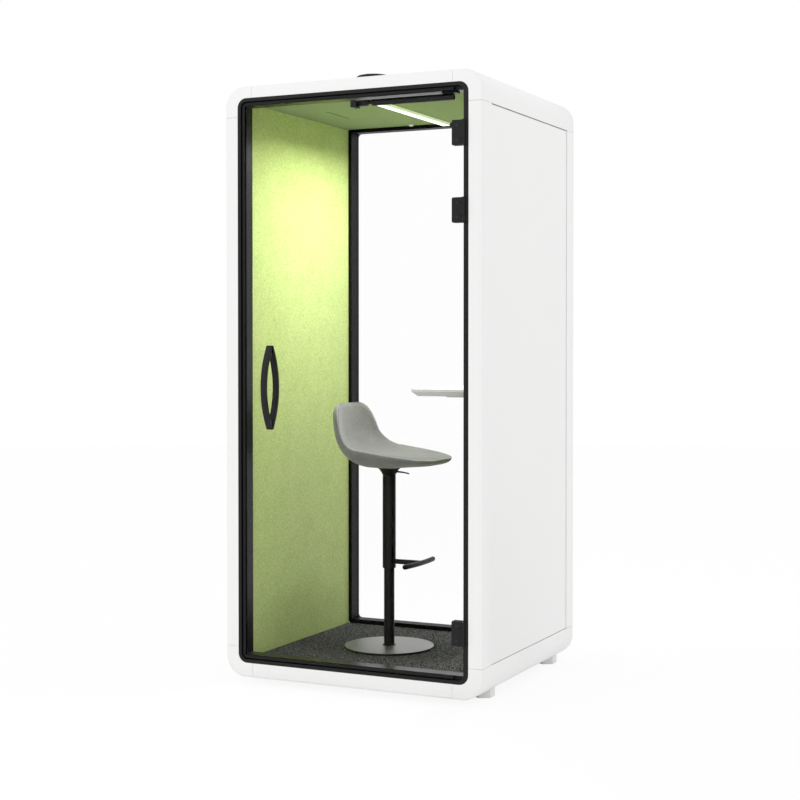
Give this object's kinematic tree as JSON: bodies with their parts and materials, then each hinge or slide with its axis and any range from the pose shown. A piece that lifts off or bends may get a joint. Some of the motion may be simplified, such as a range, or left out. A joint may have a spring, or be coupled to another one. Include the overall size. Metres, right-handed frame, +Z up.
{
  "type": "acoustic_office_pod",
  "caption": "Single-person acoustic office pod: rounded white shell, full-glass door with closer, green felt lining, wall desk, ceiling light, roof fan and height-adjustable stool",
  "frame": {"origin": "middle of the footprint, on the floor under the four levelling feet", "axes": "+X to the right seen from the door, +Y from the door to the rear window, +Z up"},
  "size_m": [1.075, 1.008, 2.332],
  "materials": {
    "shell_white": "satin",
    "core_pad": "matte",
    "felt_green": "matte",
    "carpet_grey": "matte",
    "deck_board": "matte",
    "frame_black": "satin",
    "seal_black": "matte",
    "clear_glass": "polished",
    "hardware_black": "satin",
    "vent_black": "matte",
    "lamp_white": "satin",
    "bracket_metal": "satin",
    "desk_grey": "satin",
    "white_plastic": "satin",
    "stool_black": "satin",
    "base_metal": "satin",
    "gas_rod_steel": "polished",
    "seat_fabric": "matte"
  },
  "bodies": {
    "shell": {"corner_profile_bottom_left": "shell_white", "corner_profile_bottom_right": "shell_white", "corner_profile_top_left": "shell_white", "corner_profile_top_right": "shell_white", "front_left_post": "shell_white", "front_right_post": "shell_white", "front_top_rail": "shell_white", "front_bottom_rail": "shell_white", "rear_left_post": "shell_white", "rear_right_post": "shell_white", "rear_top_rail": "shell_white", "rear_bottom_rail": "shell_white", "left_side_panel": "shell_white", "right_side_panel": "shell_white", "roof_panel": "shell_white", "left_acoustic_core": "core_pad", "right_acoustic_core": "core_pad", "roof_acoustic_core": "core_pad", "left_felt_wall": "felt_green", "right_felt_wall": "felt_green", "ceiling_felt": "felt_green", "carpet": "carpet_grey", "floor_deck": "deck_board", "door_frame": "frame_black", "rear_window_frame": "frame_black", "rear_glass": "clear_glass", "upper_hinge_leaf": "hardware_black", "middle_hinge_leaf": "hardware_black", "lower_hinge_leaf": "hardware_black", "closer_frame_bracket": "hardware_black", "fan_housing": "vent_black", "fan_cowl": "vent_black", "light_diffuser": "lamp_white", "light_body": "bracket_metal", "desk_bracket": "bracket_metal", "desk_top": "desk_grey", "switch_plate": "white_plastic", "presence_sensor": "white_plastic", "foot_front_left": "white_plastic", "foot_front_right": "white_plastic", "foot_rear_left": "white_plastic", "foot_rear_right": "white_plastic", "stool_base": "base_metal"},
    "door": {"door_glass": "clear_glass", "door_edge_seal": "seal_black", "upper_hinge_clamp": "hardware_black", "middle_hinge_clamp": "hardware_black", "lower_hinge_clamp": "hardware_black", "outer_pull_handle": "hardware_black", "inner_pull_handle": "hardware_black", "closer_door_bracket": "hardware_black"},
    "closer_tube_body": {"closer_tube": "hardware_black"},
    "closer_rod_body": {"closer_rod": "hardware_black"},
    "fan": {"fan_rotor": "vent_black"},
    "stool_lift": {"stool_gas_rod": "gas_rod_steel", "stool_sleeve": "stool_black"},
    "stool_swivel": {"stool_seat_mount": "stool_black", "stool_seat": "seat_fabric"},
    "lever": {"stool_lever": "stool_black"},
    "rocker": {"switch_rocker": "white_plastic"}
  },
  "joints": [
    {"name": "door_swing", "type": "hinge", "parent": "shell", "child": "door", "pos_m": [0.466, -0.473, 1.165], "axis": [0, 0, 1], "range_deg": [0, 100], "stiffness_Nm_per_rad": 3, "springref_deg": -28.65},
    {"name": "closer_turn", "type": "hinge", "parent": "shell", "child": "closer_tube_body", "pos_m": [0.393, -0.421, 2.203], "axis": [0, 0, 1], "range_deg": [0, 101.3]},
    {"name": "closer_draw", "type": "slide", "parent": "closer_tube_body", "child": "closer_rod_body", "axis": [-1, 0, 0], "range_m": [0, 0.1375]},
    {"name": "fan_spin", "type": "hinge", "parent": "shell", "child": "fan", "pos_m": [0, -0.26, 2.265], "axis": [0, 0, 1], "continuous": true},
    {"name": "seat_lift", "type": "slide", "parent": "shell", "child": "stool_lift", "axis": [0, 0, 1], "range_m": [-0.2, 0.02]},
    {"name": "seat_swivel", "type": "hinge", "parent": "stool_lift", "child": "stool_swivel", "pos_m": [-0.073, 0.018, 0.782], "axis": [0, 0, 1], "continuous": true},
    {"name": "lever_lift", "type": "hinge", "parent": "stool_swivel", "child": "lever", "pos_m": [-0.043, 0.018, 0.798], "axis": [0, -1, 0], "range_deg": [0, 8], "stiffness_Nm_per_rad": 1, "springref_deg": -5.73},
    {"name": "rocker_tilt", "type": "hinge", "parent": "shell", "child": "rocker", "pos_m": [0.4652, -0.166, 1.275], "axis": [0, 1, 0], "range_deg": [0, 4]}
  ],
  "couplings": [
    {"joint": "closer_turn", "follows": "door_swing", "ratio": 1.012},
    {"joint": "closer_draw", "follows": "door_swing", "m_per_rad": 0.0785}
  ]
}
